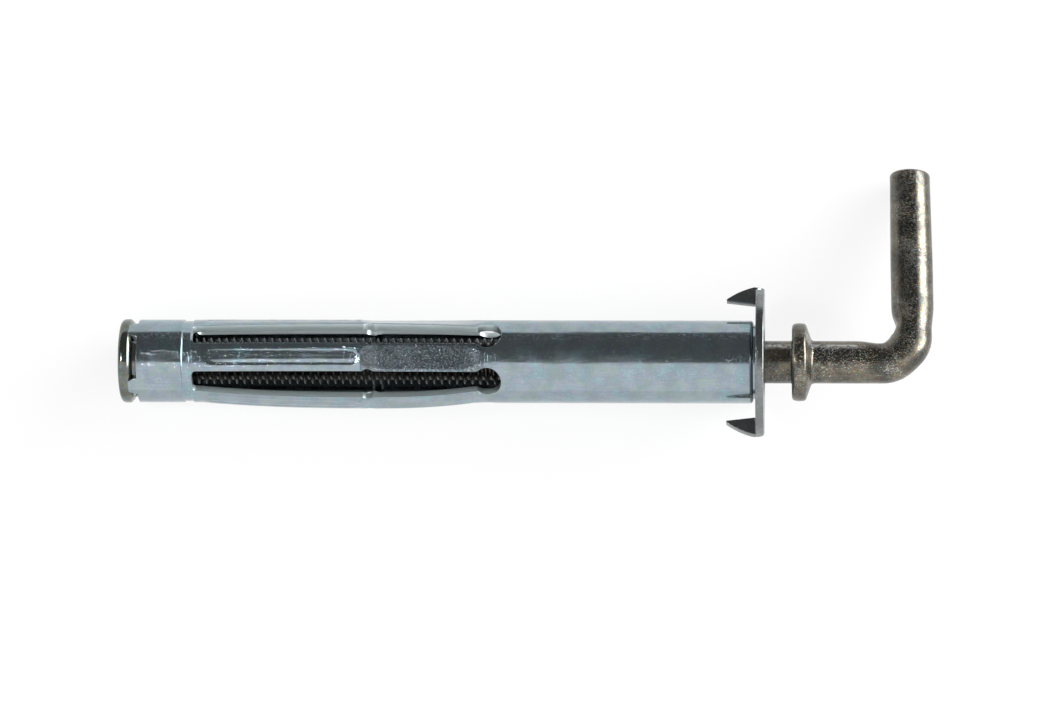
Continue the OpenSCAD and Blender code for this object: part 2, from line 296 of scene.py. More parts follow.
@dataclass
class Sleeve(Piece):
    """The rolled and punched sleeve: crimped socket, five legs, barrel and neck.

    The fields that end in columns say where along the sheet its mesh grows finer.
    """

    seat: Seat = Seat("sleeve_shell", "sleeve", "anchor", "sleeve_zinc")
    radius: float = 4.35
    wall: float = 0.8
    x_end: float = -64.8
    lobes: int = 4
    lobe_turn: float = 50.5
    lobe_half_rows: int = 8
    lobe_len: float = 0.95
    lobe_taper: float = 0.4
    lobe_curve: float = 1.5
    lobe_least: float = 0.08
    rim_x: float = -65.4
    rim_lead: float = 0.1
    rim_bevel_r: float = 4.0
    rim_gap: float = 0.04
    waist: Pair = (-60.0, -59.2)
    waist_depth: float = 0.13
    waist_ease: float = 0.1
    legs: int = 5
    leg_turn: float = 5.5
    leg_w: float = 3.05
    bows: tuple[float, ...] = (0.3, 0.1, 0.25, 0.25, 0.68)
    bow_round: float = 2.5
    twists: tuple[float, ...] = (-6.0, 6.0, 0.0, 0.0, 0.0)
    twists_kept: tuple[float, ...] = (0.0, 1.0, 1.0, 1.0, 1.0)
    twist_fade: float = 2.0
    slot_x0: float = -59.0
    slot_x1: float = -26.55
    corner_r: float = 0.5
    key_r: float = 1.5
    key_stretch: float = 1.1
    fold_x: float = -40.5
    bow_x0: float = -58.2
    bow_x1: float = -29.57
    notch_r: float = 0.7
    notch_depth: float = 0.25
    bulge: float = 0.35
    bulge_r: float = 0.6
    channel: Pair = (-57.6, -41.4)
    channel_half: float = 0.85
    channel_depth: float = 0.1
    channel_lean: float = 0.035
    channel_edges: Pair = (0.26, 0.14)
    channel_wave: float = 0.05
    channel_wave_scale: Pair = (2.3, 0.3)
    channel_wear: Pair = (0.75, 0.5)
    channel_wear_scale: float = 1.1
    channel_seeds: Pair = (4.0, 9.0)
    flat: Pair = (-41.3, -28.3)
    flat_depth: float = 0.2
    flat_first: float = 0.4
    flat_runout: Pair = (0.2, 2.4)
    press_blend: float = 0.03
    neck_r: float = 3.9
    neck_x: float = -0.3
    neck_foot: float = 0.02
    shoulder: float = 0.35
    plate_x: float = 0.85
    flare: float = 0.17
    flare_len: float = 0.15
    edge_round: float = 0.11
    leg_rows: int = 12
    slot_rows: int = 8
    even_lead: float = 0.5
    end_reach: float = 1.2
    crimp_columns: tuple[tuple[float, int], ...] = ((0.1, 1), (0.3, 1), (0.7, 6))
    waist_columns: float = 0.5
    channel_columns: Pair = (-0.3, 1.2)
    fold_columns: Pair = (-2.2, 1.5)
    key_columns: float = 1.4
    barrel_columns: float = 0.2
    columns: list[tuple[float, float, Section]] = field(default_factory=list)

    @property
    def half_pitch(self) -> float:
        """The way round the sleeve from a leg's middle to a slot's middle."""
        return math.pi * self.radius / self.legs

    @property
    def slot_half(self) -> float:
        """Half of a slot's width."""
        return self.half_pitch - self.leg_w / 2

    @property
    def key_x(self) -> float:
        """Where the middle of the keyed slot end is."""
        return self.slot_x1 - self.key_r

    @property
    def corner_columns(self) -> Pair:
        """The columns that follow the round corners at a slot's two ends."""
        return self.slot_x0 + self.corner_r * (1 - DIAGONAL), self.key_x + self.key_r * DIAGONAL

    @property
    def leg_pitch_rows(self) -> int:
        """How many rows one leg and one slot have together."""
        return 2 * (self.leg_rows + self.slot_rows)

    @property
    def rows(self) -> int:
        """How many rows the whole sheet has."""
        return self.leg_pitch_rows * self.legs

    def body_radius(self, x: float) -> float:
        """The plain sleeve's outer radius, with its waist.

        Args:
            x: The place along the axis.

        Returns:
            The radius.
        """
        x0, x1 = self.waist
        down = ramp(x, x0 - self.waist_ease, x0)
        up = ramp(x, x1, x1 + 2 * self.waist_ease)
        return self.radius - self.waist_depth * (down - up)

    def plan_columns(self) -> None:
        """Lists each column of the sheet: its place along the axis, its radius and its section."""
        slot_corner, key_corner = self.corner_columns
        stretches = (
            (self.x_end - self.lobe_len, Section.LOBES, 7),
            (self.x_end, Section.SOCKET, 1),
            *[(self.x_end + way, Section.SOCKET, count) for way, count in self.crimp_columns],
            (self.waist[0] - self.waist_columns, Section.SOCKET, 16),
            (slot_corner, Section.LEGS, 4),
            (self.slot_x0 + self.corner_r, Section.LEGS, 3),
            (self.channel[0] + self.channel_columns[0], Section.LEGS, 6),
            (self.channel[0] + self.channel_columns[1], Section.LEGS, 22),
            (self.fold_x + self.fold_columns[0], Section.LEGS, 34),
            (self.fold_x + self.fold_columns[1], Section.LEGS, 20),
            (self.key_x - self.key_columns, Section.LEGS, 16),
            (key_corner, Section.BARREL, 5),
            (self.slot_x1 + self.barrel_columns, Section.BARREL, 12),
            (self.neck_x - self.shoulder, Section.BARREL, 0),
        )
        for (start, section, count), (end, _, _) in zip(stretches, stretches[1:]):
            self.columns += [(x, self.radius, section) for x in spaced(start, end, count)]
        bend = self.shoulder
        neck = (
            *arc_points(self.neck_x - bend, self.radius - bend, bend, 0, 90, 5),
            (self.neck_x + self.neck_foot, self.neck_r),
            (self.plate_x / 2, self.neck_r),
            (self.plate_x - self.flare_len, self.neck_r),
            (self.plate_x, self.neck_r + self.flare),
        )
        self.columns += [(x, radius, Section.BARREL) for x, radius in neck]

    def slot_edge(self, x: float) -> float:
        """How far a slot's edge is from the slot's middle.

        Args:
            x: The place along the axis.

        Returns:
            The way round the sleeve from the slot's middle to its edge.
        """
        if x < self.slot_x0 + self.corner_r:
            dx = min(self.slot_x0 + self.corner_r - x, self.corner_r * DIAGONAL)
            edge = self.slot_half - self.corner_r + math.sqrt(self.corner_r ** 2 - dx ** 2)
            even = self.half_pitch * self.slot_rows / (self.leg_rows + self.slot_rows)
            return edge + (even - edge) * ramp(x, self.slot_x0 - self.even_lead, self.x_end)
        edge = self.slot_half
        dx = x - self.key_x
        if dx > 0 or self.key_r ** 2 - dx ** 2 > (edge / self.key_stretch) ** 2:
            dx = min(dx, self.key_r * DIAGONAL)
            edge = self.key_stretch * math.sqrt(self.key_r ** 2 - dx ** 2)
        dx = abs(x - self.fold_x)
        if dx < self.notch_r:
            edge += max(math.sqrt(self.notch_r ** 2 - dx ** 2) - self.notch_r + self.notch_depth, 0)
        return edge

    def flat_pattern(self, column: int, row: int) -> Pair:
        """Places one point of the flat sheet.

        Args:
            column: The point's column.
            row: The point's row, counted from the middle of its leg.

        Returns:
            The place along the axis, and the way round from the leg's middle.
        """
        x = self.columns[column][0]
        edge = self.slot_edge(x)
        side = math.copysign(1, row)
        if abs(row) <= self.leg_rows:
            return x, side * (self.half_pitch - edge) * abs(row) / self.leg_rows
        off = edge * (1 - (abs(row) - self.leg_rows) / self.slot_rows)
        return x + self.end_shift(x, off), side * (self.half_pitch - off)

    def end_shift(self, x: float, off: float) -> float:
        """Moves the columns by a slot's end so that they follow its round corners.

        Args:
            x: The column's place along the axis.
            off: How far the point is from the slot's middle.

        Returns:
            How far the point moves along the axis.
        """
        start, end = self.corner_columns
        if x <= start:
            dc = max(off - (self.slot_half - self.corner_r), 0)
            bound = self.slot_x0 + self.corner_r - math.sqrt(max(self.corner_r ** 2 - dc ** 2, 0))
            return (bound - start) * ramp(x, start - self.end_reach, start, Ease.LINEAR)
        if x >= end:
            dc = off / self.key_stretch
            bound = self.key_x + math.sqrt(max(self.key_r ** 2 - dc ** 2, 0))
            return (bound - end) * ramp(x, end + self.end_reach, end, Ease.LINEAR)
        return 0.0

    def lobe_row(self, row: float) -> float:
        """Counts a row of the whole sheet from the middle of the nearest crimp lobe.

        Args:
            row: The row round the whole sleeve.

        Returns:
            The rows from the lobe's middle, negative before it.
        """
        per_lobe = self.rows / self.lobes
        middle = (self.lobe_turn - self.leg_turn) * self.rows / 360 + self.leg_pitch_rows / 2
        return (row - round(middle) + per_lobe / 2) % per_lobe - per_lobe / 2

    def present(self, column: int, row: int) -> bool:
        """Says whether the sheet has a face there.

        Args:
            column: The face's first column.
            row: The face's first row round the whole sleeve.

        Returns:
            False inside the slots and between the lobes.
        """
        section = self.columns[column][2]
        if section is Section.LOBES:
            return abs(self.lobe_row(row + 0.5)) < self.lobe_half_rows
        from_leg = abs(row % self.leg_pitch_rows + 0.5 - self.leg_pitch_rows / 2)
        return from_leg < self.leg_rows or section is not Section.LEGS

    def lobe_point(self, column: int, row: int, outside: bool) -> Vector:
        """Places one point of a crimp lobe, which lies over the bevel of the nut's rim.

        Args:
            column: The point's column.
            row: The point's row round the whole sleeve.
            outside: Whether the point is on the outer face.

        Returns:
            The point in the anchor's frame.
        """
        x = self.columns[column][0]
        share = (self.x_end - x) / self.lobe_len
        from_middle = self.lobe_row(row)
        shift = from_middle * (1 - self.lobe_taper * share ** self.lobe_curve) - from_middle
        angle = (row + shift - self.leg_pitch_rows / 2) * 360 / self.rows + self.leg_turn
        radius = self.radius
        if not outside:
            bevel = self.rim_bevel_r + max(self.rim_x - x, 0) + self.rim_gap
            inner = max(self.radius - self.wall, bevel if x < self.rim_x + self.rim_lead else 0)
            radius = min(inner, self.radius - self.lobe_least)
        return axis_turn(angle) @ Vector((x, 0, radius))

    def recess(self, x: float, y: float) -> float:
        """How deep the channel on the nut half of a leg is at a point.

        Args:
            x: The place along the axis.
            y: The way across the leg.

        Returns:
            The depth under the leg's own surface.
        """
        half = self.channel_half
        along, across = self.channel_wave_scale
        wave = self.channel_wave * noise.noise(Vector((x * along, y * across, self.channel_seeds[0])))
        end = max(self.channel[0] + half - x, x - self.channel[1] + half, 0)
        reach = half - math.hypot(y + wave, end)
        depth = self.channel_depth - self.channel_lean * y
        if y < 0:
            kept, uneven = self.channel_wear
            place = Vector((x * self.channel_wear_scale, 0.0, self.channel_seeds[1]))
            depth *= kept + uneven * noise.noise(place)
        soft, crisp = self.channel_edges
        return depth * ramp(reach, 0, crisp if y > 0 else soft)

    def leg_height(self, x: float, y: float, z: float, bow: float, outside: bool) -> float:
        """Presses a leg's channel, flat and bulge into its height at a point.

        Args:
            x: The place along the axis.
            y: The way across the leg.
            z: The rolled sheet's height there.
            bow: How far the leg stands out there.
            outside: Whether the point is on the outer face.

        Returns:
            The pressed height.
        """
        rise = self.radius + bow
        if outside:
            z -= self.recess(x, y)
            if self.flat[0] < x < self.flat[1]:
                past, before = self.flat_runout
                start = ramp(x, self.flat[0], self.fold_x, Ease.LINEAR)
                end = ramp(x, self.flat[1] + past, self.flat[1] - before)
                share = min(self.flat_first + (1 - self.flat_first) * start, end)
                z = soft_min(z, rise - self.flat_depth * share, self.press_blend)
            return z
        dx = abs(x - self.fold_x - self.bulge_r)
        if dx < self.bulge_r:
            middle = rise - self.wall + self.bulge_r - self.bulge
            z = soft_min(z, middle - math.sqrt(self.bulge_r ** 2 - dx ** 2), self.press_blend)
        return z

    def bowed(self, leg: int, x: float, y: float, z: float, outside: bool) -> Vector:
        """Presses, bows and twists one point of a leg.

        Args:
            leg: The leg's number.
            x: The place along the axis.
            y: The way across the leg.
            z: The rolled sheet's height there.
            outside: Whether the point is on the outer face.

        Returns:
            The point, with its leg still at the top.
        """
        full = (x - self.bow_x0) / (self.fold_x - self.bow_x0)
        if x > self.fold_x:
            full = (self.bow_x1 - x) / (self.bow_x1 - self.fold_x)
        share = 1 - (1 - max(full, 0)) ** self.bow_round
        bow = self.bows[leg] * share
        z = self.leg_height(x, y, z + bow, bow, outside)
        faded = (1 - self.twists_kept[leg]) * ramp(x, self.fold_x + self.twist_fade, self.fold_x)
        twist = axis_turn(self.twists[leg] * (self.twists_kept[leg] + faded) * share)
        middle = Vector((0, 0, self.radius + bow))
        return twist @ (Vector((x, y, z)) - middle) + middle

    def shape_vert(self, column: int, row: int, outside: bool) -> Vector:
        """Places one point of the formed sleeve.

        Args:
            column: The point's column.
            row: The point's row round the whole sleeve.
            outside: Whether the point is on the outer face.

        Returns:
            The point in the anchor's frame.
        """
        _, column_radius, section = self.columns[column]
        if section is Section.LOBES:
            return self.lobe_point(column, row, outside)
        leg = (row // self.leg_pitch_rows) % self.legs
        x, way = self.flat_pattern(column, row % self.leg_pitch_rows - self.leg_pitch_rows // 2)
        radius = column_radius - (self.radius - self.body_radius(x))
        if not outside:
            radius = self.body_radius(x) - self.wall
        angle = way / self.radius
        y, z = radius * math.sin(angle), radius * math.cos(angle)
        point = self.bowed(leg, x, y, z, outside) if section is Section.LEGS else Vector((x, y, z))
        return axis_turn(self.leg_turn + leg * 360 / self.legs) @ point

    def mesh(self) -> BMesh:
        """Makes the sleeve from one punched sheet, rolled, walled and pressed."""
        self.plan_columns()
        count = len(self.columns)
        bm = bmesh.new()
        bmesh.ops.create_grid(bm, x_segments=count - 1, y_segments=self.rows, size=1)
        column_of = bm.verts.layers.int.new("column")
        row_of = bm.verts.layers.int.new("row")
        for v in bm.verts:
            v[column_of] = grid_step(v.co.x, count - 1)
            v[row_of] = grid_step(v.co.y, self.rows) % self.rows
        punched = [f for f in bm.faces if not self.kept_face(f, column_of, row_of)]
        bmesh.ops.delete(bm, geom=punched, context="FACES")
        for v in bm.verts:
            angle = math.tau * v[row_of] / self.rows
            v.co = Vector((v[column_of], math.cos(angle) * self.rows, math.sin(angle) * self.rows))
        bmesh.ops.remove_doubles(bm, verts=bm.verts, dist=CLOSE)
        inside = wall_sheet(bm)
        for v in bm.verts:
            v.co = self.shape_vert(v[column_of], v[row_of], not v[inside])
        bmesh.ops.recalc_face_normals(bm, faces=bm.faces)
        edges = [e for e in sharp_edges(bm, CUT_SHARP) if self.cut_edge(e)]
        soften_edges(bm, edges, self.edge_round, 3)
        return bm

    def kept_face(self, face: BMFace, column_of: BMLayerItem, row_of: BMLayerItem) -> bool:
        """Says whether the punch leaves a face of the sheet.

        Args:
            face: The face.
            column_of: The layer of the points' columns.
            row_of: The layer of the points' rows.

        Returns:
            True where the sheet stays.
        """
        column = min(v[column_of] for v in face.verts)
        numbers = [v[row_of] for v in face.verts]
        row = min(numbers)
        if max(numbers) - row > 1:
            row = self.rows - 1
        return self.present(column, row)

    def cut_edge(self, edge: BMEdge) -> bool:
        """Keeps the neck's fitting edges out of the softened ones."""
        return max(v.co.x for v in edge.verts) < self.neck_x - self.shoulder


@dataclass
class Nut(Piece):
    """The turned nut that the sleeve's crimped end holds."""

    seat: Seat = Seat("crimped_nut", "nut", "anchor", "nut_zinc")
    x_face: float = -66.75
    rim_x: float = -65.4
    rim_r: float = 4.4
    face_round: float = 0.5
    rim_bevel: float = 0.35
    bevel_ease: Triple = (0.04, 0.02, 0.03)
    body_r: float = 3.52
    body_x: float = -60.2
    body_bevel: float = 0.25
    body_root: float = 0.1
    bore_r: float = 2.475
    bore_bevel: float = 0.3
    round_steps: int = 128

    def mesh(self) -> BMesh:
        """Turns the nut from its profile."""
        bevel_x, bevel_r = self.rim_x - self.rim_bevel, self.rim_r - self.rim_bevel
        before, after, drop = self.bevel_ease
        profile = [
            (self.x_face + self.bore_bevel, self.bore_r),
            (self.x_face, self.bore_r + self.bore_bevel),
            *arc_points(self.x_face + self.face_round, self.rim_r - self.face_round,
                        self.face_round, -90, 0, 8),
            (bevel_x - before, self.rim_r),
            (bevel_x + after, self.rim_r - drop),
            (self.rim_x - drop, bevel_r + after),
            (self.rim_x, bevel_r - before),
            (self.rim_x, self.body_r + self.body_root),
            (self.rim_x + self.body_root, self.body_r),
            (self.body_x - self.body_bevel, self.body_r),
            (self.body_x, self.body_r - self.body_bevel),
            (self.body_x, self.bore_r),
        ]
        return spin_profile(profile, self.round_steps, closed=True)


@dataclass
class ClawPlate(Piece):
    """The stamped round plate with two claws cut from its rim and folded to the wall."""

    seat: Seat = Seat("wall_plate", "claw_plate", "anchor", "plate_zinc")
    radius: float = 8.0
    thickness: float = 0.85
    edge_round: float = 0.12
    hole_r: float = 3.93
    hole_flare: float = 0.2
    hole_ring: float = 0.6
    edge_ring: float = 0.5
    claw_len: float = 2.9
    claw_offset: float = 2.0
    claw_inner: float = 5.86
    claw_across: int = 8
    claw_round: float = 0.06
    claw_root: float = 0.02
    rim_gap: float = 0.03
    bend_r: float = 0.2
    cut: float = 0.1
    cut_round: float = 0.05
    cut_sharp: float = 60.0
    turn: float = 25.0
    round_steps: int = 144

    @property
    def fold_line(self) -> float:
        """How far the claw's bend starts from the plate's middle line."""
        return self.claw_offset - self.bend_r - self.thickness

    @property
    def bend_arc(self) -> float:
        """The sheet's length round the bend, along its middle."""
        return (self.bend_r + self.thickness / 2) * math.pi / 2

    def disc(self) -> BMesh:
        """Turns the disc and cuts the two pieces of rim free."""
        top = self.thickness
        e = self.edge_round
        edge_r = self.radius - e
        hole_top = self.hole_r + self.hole_flare
        profile = [
            (0, self.hole_r),
            *[(0, r) for r in spaced(self.hole_r + self.hole_ring, edge_r, 4)],
            *arc_points(e, edge_r, e, -90, 0, 4),
            *arc_points(top - e, edge_r, e, 0, 90, 4),
            *[(top, r) for r in spaced(edge_r - self.edge_ring, hole_top, 4)],
            (top, hole_top),
            (top - self.hole_flare, self.hole_r),
        ]
        bm = spin_profile(profile, self.round_steps, closed=True)
        for side in (1, -1):
            self.cut_rim(bm, side)
        return bm

    def cut_rim(self, bm: BMesh, side: int) -> None:
        """Cuts the piece of rim free that is folded to make a claw.

        Args:
            bm: The disc.
            side: 1 for the upper piece, -1 for the lower one.
        """
        edge = self.claw_inner - self.cut
        cut_by_plane(bm, (0, side * edge, 0), (0, side, 0), clear=False)
        cut_by_plane(bm, (0, 0, side * self.fold_line), (0, 0, side), clear=False)
        freed = []
        for face in bm.faces:
            middle = face.calc_center_median()
            if side * middle.y > edge and side * middle.z > self.fold_line:
                freed.append(face)
        bmesh.ops.delete(bm, geom=freed, context="FACES")
        bmesh.ops.holes_fill(bm, edges=[e for e in bm.edges if e.is_boundary], sides=0)

    def claw_width(self, along: float) -> Pair:
        """The inner and outer edges of the claw's flat pattern.

        Args:
            along: The way from the bend's end towards the tip.

        Returns:
            The two distances from the plate's centre line.
        """
        outer = math.sqrt(self.radius ** 2 - (self.claw_offset + along) ** 2)
        share = max(along, 0) / self.claw_len
        tip = math.sqrt(self.radius ** 2 - (self.claw_offset + self.claw_len) ** 2) - self.cut
        return self.claw_inner + (tip - self.claw_inner) * share, outer

    def fold(self, along: float, across: float, depth: float) -> Vector:
        """Folds one point of the claw's flat pattern.

        Args:
            along: The way from the bend's end towards the tip, negative in the bend and plate.
            across: The distance from the plate's centre line.
            depth: How far the point is under the claw's outer face.

        Returns:
            The point in the anchor's frame, before the claws' turn.
        """
        outer = self.bend_r + self.thickness - depth
        arc = self.bend_arc
        if along >= 0:
            return Vector((-self.bend_r - along, across, self.claw_offset - depth))
        if along > -arc:
            angle = -along / arc * math.pi / 2
            return Vector((-self.bend_r + outer * math.sin(angle), across,
                           self.fold_line + outer * math.cos(angle)))
        return Vector((self.thickness - depth, across, self.fold_line + along + arc))

    def claw(self) -> BMesh:
        """Makes one claw from a strip of sheet, folded and walled."""
        arc = self.bend_arc
        stations = [-arc - self.claw_root, *spaced(-arc, 0, 8), *spaced(0, self.claw_len, 14),
                    self.claw_len]
        steps = len(stations) - 1
        bm = bmesh.new()
        bmesh.ops.create_grid(bm, x_segments=steps, y_segments=self.claw_across, size=1)
        inside = wall_sheet(bm)
        for v in bm.verts:
            along = stations[grid_step(v.co.x, steps)]
            inner, outer = self.claw_width(max(along, -self.bend_r))
            if along < 0:
                inner = self.claw_inner
                reach = self.fold(along, 0, 0).z
                outer = math.sqrt(self.radius ** 2 - reach ** 2) - self.rim_gap
            place = inner + (outer - inner) * (v.co.y + 1) / 2
            v.co = self.fold(along, place, self.thickness if v[inside] else 0)
        bmesh.ops.recalc_face_normals(bm, faces=bm.faces)
        root = self.fold_line + self.claw_root / 2
        edges = [e for e in sharp_edges(bm, CUT_SHARP) if min(v.co.z for v in e.verts) > root]
        soften_edges(bm, edges, self.claw_round, 2)
        return bm

    def mesh(self) -> BMesh:
        """Joins the disc and its two claws, and turns them out of the level."""
        bm = self.disc()
        claw = as_mesh(self.claw(), "claw")
        for _ in range(2):
            bmesh.ops.rotate(bm, cent=(0, 0, 0), matrix=Matrix.Rotation(math.pi, 3, "X"), verts=bm.verts)
            bm.from_mesh(claw)
        bpy.data.meshes.remove(claw)
        edges = [e for e in sharp_edges(bm, self.cut_sharp) if self.on_cut(e)]
        soften_edges(bm, edges, self.cut_round, 2)
        bmesh.ops.rotate(bm, cent=(0, 0, 0), matrix=axis_turn(self.turn), verts=bm.verts)
        return bm

    def on_cut(self, edge: BMEdge) -> bool:
        """Finds the disc's edges along the cut that frees a claw."""
        place = self.claw_inner - self.cut
        return all(abs(abs(v.co.y) - place) < CLOSE and v.co.x >= -CLOSE for v in edge.verts)


@dataclass
class HookScrew(Piece):
    """The machine screw: rolled thread, plain shank, upset collar and bent square hook.

    The forms are lists of points. The thread's are shares of its pitch and depth, and the tip's of
    the arm's bevel. The collar's are ways along and out, from the end of its land for the slope
    and from where it meets the wire for the foot. The two pinches are inside the bend's two ends.
    """

    seat: Seat = Seat("square_hook", "hook_screw", "hook", "hook_zinc")
    x_tip: float = -66.35
    thread_x1: float = -20.35
    pitch: float = 0.8
    crest_r: float = 2.425
    root_r: float = 1.97
    thread_form: tuple[Pair, ...] = (
        (0.0, 0.0), (0.12, 0.0), (0.40, 0.85), (0.46, 1.0),
        (0.56, 1.0), (0.62, 0.85), (0.90, 0.0), (1.0, 0.0),
    )
    thread_runout: float = 0.3
    tip_bevel: float = 0.55
    wire_r: float = 2.225
    collar_x0: float = 3.75
    collar_x1: float = 5.85
    collar_r: float = 4.05
    collar_crown: float = 0.03
    crown_inset: float = 0.2
    collar_round: float = 0.4
    collar_land: float = 0.85
    collar_slope: tuple[Pair, ...] = ((0.0, 0.0), (0.12, -0.04), (0.24, -0.16))
    collar_foot: tuple[Pair, ...] = ((-0.12, 0.28), (-0.02, 0.1), (0.14, 0.02))
    fillet: float = 0.18
    arm_x: float = 16.25
    bend_r: float = 3.0
    shank_columns: Pair = (1.0, 0.3)
    bend_columns: Pair = (1.6, 2.4)
    arm_len: float = 20.95
    tip_r: float = 2.12
    tip_form: tuple[Pair, ...] = ((-1.0, 0.0), (-0.6, -0.22), (-0.22, -0.6), (0.0, -1.4))
    slim_from: float = 7.0
    droop: float = 19.1364
    arm_bevel: float = 0.2
    arm_lean: float = 0.95
    lean_from: float = 3.0
    worked_from: float = 1.0
    pinch_x: Pair = (-0.4, 0.9)
    pinch: Pair = (0.3, 0.55)
    pinch_reach: Pair = (1.3, 1.0)
    bend_flat: float = 0.2
    bend_flat_reach: float = 1.1
    press_flat: float = 0.12
    press_flat_reach: float = 1.5
    turn_steps: int = 36
    round_steps: int = 72

    @property
    def bend_arc(self) -> float:
        """The wire's length round the bend."""
        return self.bend_r * math.pi / 2

    @property
    def bend_ends(self) -> Pair:
        """Where the bend starts and ends on the straight rod."""
        return self.arm_x - self.bend_r, self.arm_x - self.bend_r + self.bend_arc

    @property
    def arm_end(self) -> float:
        """Where the arm ends on the straight rod."""
        return self.bend_ends[1] + self.arm_len - self.bend_r

    def thread(self) -> BMesh:
        """Winds one thread form along the screw and closes its ends."""
        start = self.x_tip - self.pitch
        depth = self.crest_r - self.root_r
        bm = bmesh.new()
        form = [(start + self.pitch * s, 0, self.root_r + depth * h) for s, h in self.thread_form]
        verts = [bm.verts.new(place) for place in form]
        edges = [bm.edges.new(pair) for pair in zip(verts, verts[1:])]
        turns = math.ceil((self.thread_x1 - start) / self.pitch)
        step = (self.pitch / self.turn_steps, 0, 0)
        bmesh.ops.spin(bm, geom=verts + edges, cent=(0, 0, 0), axis=(1, 0, 0), dvec=step,
                       angle=math.tau * turns, steps=turns * self.turn_steps, use_merge=False,
                       use_duplicate=False)
        bmesh.ops.remove_doubles(bm, verts=bm.verts, dist=LOOSE)
        for x, side in ((self.x_tip, -1), (self.thread_x1, 1)):
            cut_by_plane(bm, (x, 0, 0), (side, 0, 0), clear=True)
            rim = [e for e in bm.edges if e.is_boundary and all(abs(v.co.x - x) < LOOSE for v in e.verts)]
            bmesh.ops.holes_fill(bm, edges=rim, sides=0)
        for v in bm.verts:
            radius = math.hypot(v.co.y, v.co.z)
            limit = self.crest_r - self.tip_bevel + (v.co.x - self.x_tip)
            if radius > limit:
                v.co.y *= limit / radius
                v.co.z *= limit / radius
        bmesh.ops.recalc_face_normals(bm, faces=bm.faces)
        return bm

    def rod_profile(self) -> list[Pair]:
        """The straight rod's profile from inside the thread to the arm's end, before the bend."""
        r = self.wire_r
        shank, neck = self.thread_x1 + self.shank_columns[0], self.collar_x1 + self.shank_columns[1]
        before, after = self.bend_ends[0] - self.bend_columns[0], self.bend_ends[1] + self.bend_columns[1]
        bevel, arm_end = self.arm_bevel, self.arm_end
        left = self.collar_x0 + self.collar_round
        land_end = left + self.collar_land
        inset = self.crown_inset
        return [
            (self.thread_x1 - self.thread_runout, 0),
            (self.thread_x1 - self.thread_runout, r - self.thread_runout),
            (self.thread_x1, r),
            *[(x, r) for x in spaced(shank, self.collar_x0 - self.fillet, 16)],
            *arc_points(self.collar_x0 - self.fillet, r + self.fillet, self.fillet, 180, 90, 5),
            *arc_points(left, self.collar_r - self.collar_round, self.collar_round, -90, 0, 6),
            *[(x, self.collar_r + self.collar_crown) for x in spaced(left + inset, land_end - inset / 2, 3)],
            *[(land_end + along, self.collar_r + out) for along, out in self.collar_slope],
            *[(self.collar_x1 + along, r + out) for along, out in self.collar_foot],
            *[(x, r) for x in spaced(neck, before, 12)],
            *[(x, r) for x in spaced(before, after, 44)],
            *[(x, r) for x in spaced(after, arm_end - bevel, 26)],
            *[(arm_end + bevel * along, r + bevel * out) for along, out in self.tip_form],
            (arm_end, r * 0.5),
            (arm_end, 0),
        ]

    def worked(self, x: float, y: float, z: float) -> Pair:
        """Applies what the bending tool leaves on the wire.

        Args:
            x: The place along the straight rod.
            y: The way towards the arm's side.
            z: The way out of the bend's plane.

        Returns:
            The changed y and z.
        """
        if x < self.collar_x1 + self.worked_from:
            return y, z
        start, end = self.bend_ends
        slim = 1 - (1 - self.tip_r / self.wire_r) * ramp(x, end + self.slim_from, self.arm_end)
        y, z = y * slim, z * slim
        inner = max(y / self.wire_r, 0) ** 3
        outer = max(-y / self.wire_r, 0) ** 2
        at_shank, at_arm = start + self.pinch_x[0], end + self.pinch_x[1]
        marks = (
            (at_shank, -self.pinch[0] * inner, self.pinch_reach[0]),
            (at_arm, -self.pinch[1] * inner, self.pinch_reach[1]),
            ((start + end) / 2, self.bend_flat * outer, self.bend_flat_reach),
            (at_arm, self.press_flat * outer, self.press_flat_reach),
        )
        for place, push, reach in marks:
            y += push * math.exp(-((x - place) / reach) ** 2)
        return y, z

    def bent(self, x: float, y: float, z: float) -> Vector:
        """Bends one point of the straight rod into the hook.

        Args:
            x: The place along the straight rod.
            y: The way towards the arm's side.
            z: The way out of the bend's plane.

        Returns:
            The point in the anchor's frame, before the arm droops.
        """
        start, end = self.bend_ends
        if x <= start:
            return Vector((x, y, z))
        if x < end:
            angle = (x - start) / self.bend_r
            reach = self.bend_r - y
            return Vector((start + reach * math.sin(angle), self.bend_r - reach * math.cos(angle), z))
        along = x - start - self.bend_arc
        lean = math.tan(math.radians(self.arm_lean)) * (along - (self.arm_len - self.bend_r) / 2)
        return Vector((self.arm_x - y - lean * ramp(along, 0, self.lean_from), self.bend_r + along, z))

    def rod(self) -> BMesh:
        """Turns the plain rod with its collar, and bends it into the hook."""
        bm = spin_profile(self.rod_profile(), self.round_steps, closed=False)
        for v in bm.verts:
            y, z = self.worked(v.co.x, v.co.y, v.co.z)
            v.co = self.bent(v.co.x, y, z)
        bmesh.ops.recalc_face_normals(bm, faces=bm.faces)
        return bm

    def mesh(self) -> BMesh:
        """Joins the thread and the rod, and lets the arm droop to the floor."""
        bm = self.rod()
        thread = as_mesh(self.thread(), "thread")
        bm.from_mesh(thread)
        bpy.data.meshes.remove(thread)
        bmesh.ops.rotate(bm, cent=(0, 0, 0), matrix=axis_turn(self.droop), verts=bm.verts)
        return bm


